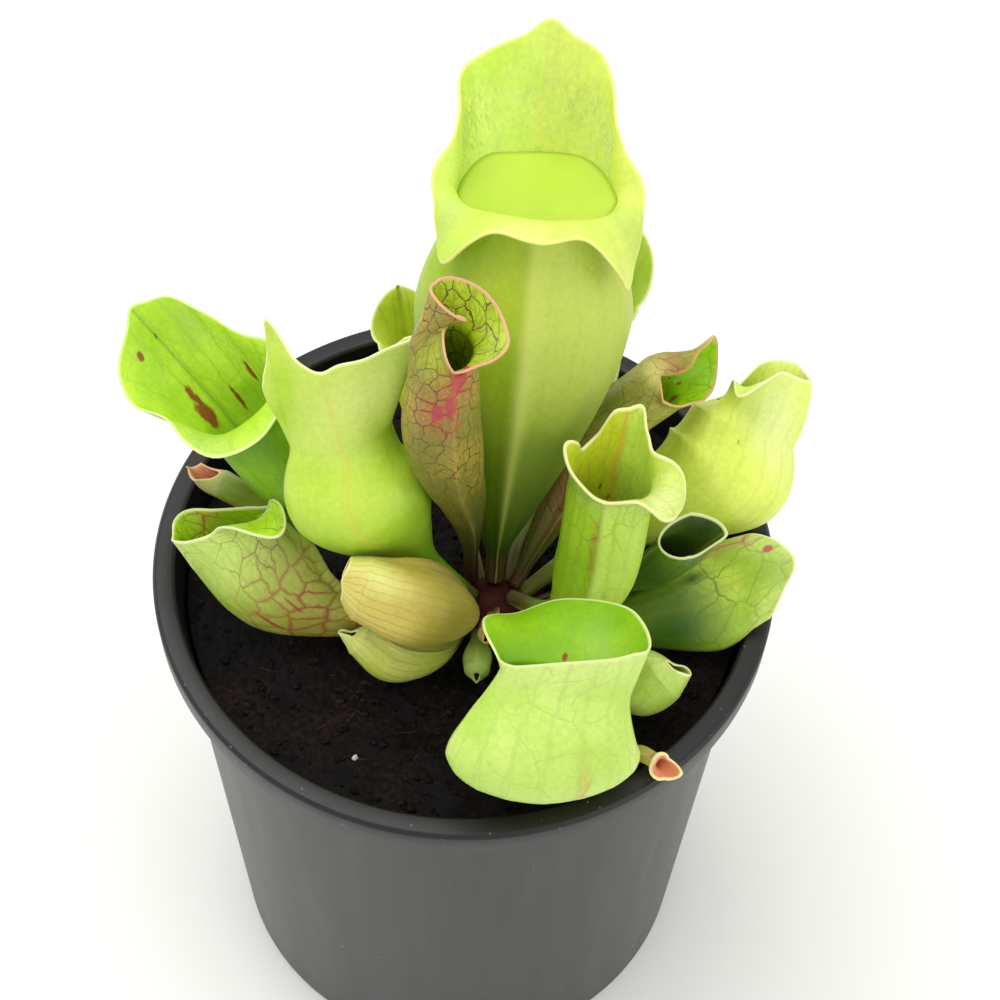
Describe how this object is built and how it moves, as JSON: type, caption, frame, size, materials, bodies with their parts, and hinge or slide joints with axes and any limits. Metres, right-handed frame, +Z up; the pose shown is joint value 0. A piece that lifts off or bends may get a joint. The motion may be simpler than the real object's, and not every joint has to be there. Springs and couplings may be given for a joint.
{
  "type": "potted southern purple pitcher plant",
  "caption": "Carnivorous pitcher plant rosette with hooded, veined trumpet leaves in peat, growing in a round black nursery pot with a rolled rim.",
  "frame": {"origin": "middle of the pot's underside, on the surface it stands on", "axes": "+Z up along the pot's axis, -Y towards the side that the tallest pitcher's mouth faces"},
  "size_m": [0.1383, 0.13, 0.2381],
  "materials": {
    "pot": "satin",
    "peat": "matte",
    "crown": "matte",
    "water": "gloss",
    "yellow_green_leaf": "satin",
    "green_leaf": "satin",
    "dark_green_leaf": "satin",
    "tan_leaf": "satin",
    "pale_leaf": "satin"
  },
  "bodies": {
    "root": {"pot": "pot", "soil": "peat", "crown": "crown", "water": "water", "pitcher_tall": "yellow_green_leaf", "pitcher_left_hood": "green_leaf", "pitcher_eared": "yellow_green_leaf", "pitcher_veined": "tan_leaf", "pitcher_rear_left": "green_leaf", "pitcher_rear_right": "green_leaf", "pitcher_tan": "tan_leaf", "pitcher_crescent": "yellow_green_leaf", "pitcher_left_low": "green_leaf", "pitcher_slim": "yellow_green_leaf", "pitcher_rolled": "yellow_green_leaf", "pitcher_right_large": "yellow_green_leaf", "pitcher_right_small": "dark_green_leaf", "pitcher_right_broad": "green_leaf", "pitcher_right_low": "green_leaf", "pitcher_front": "pale_leaf", "pitcher_spotted": "green_leaf", "seedling_at_rim": "yellow_green_leaf", "bud_green": "dark_green_leaf", "bud_yellow": "tan_leaf"}
  },
  "joints": []
}
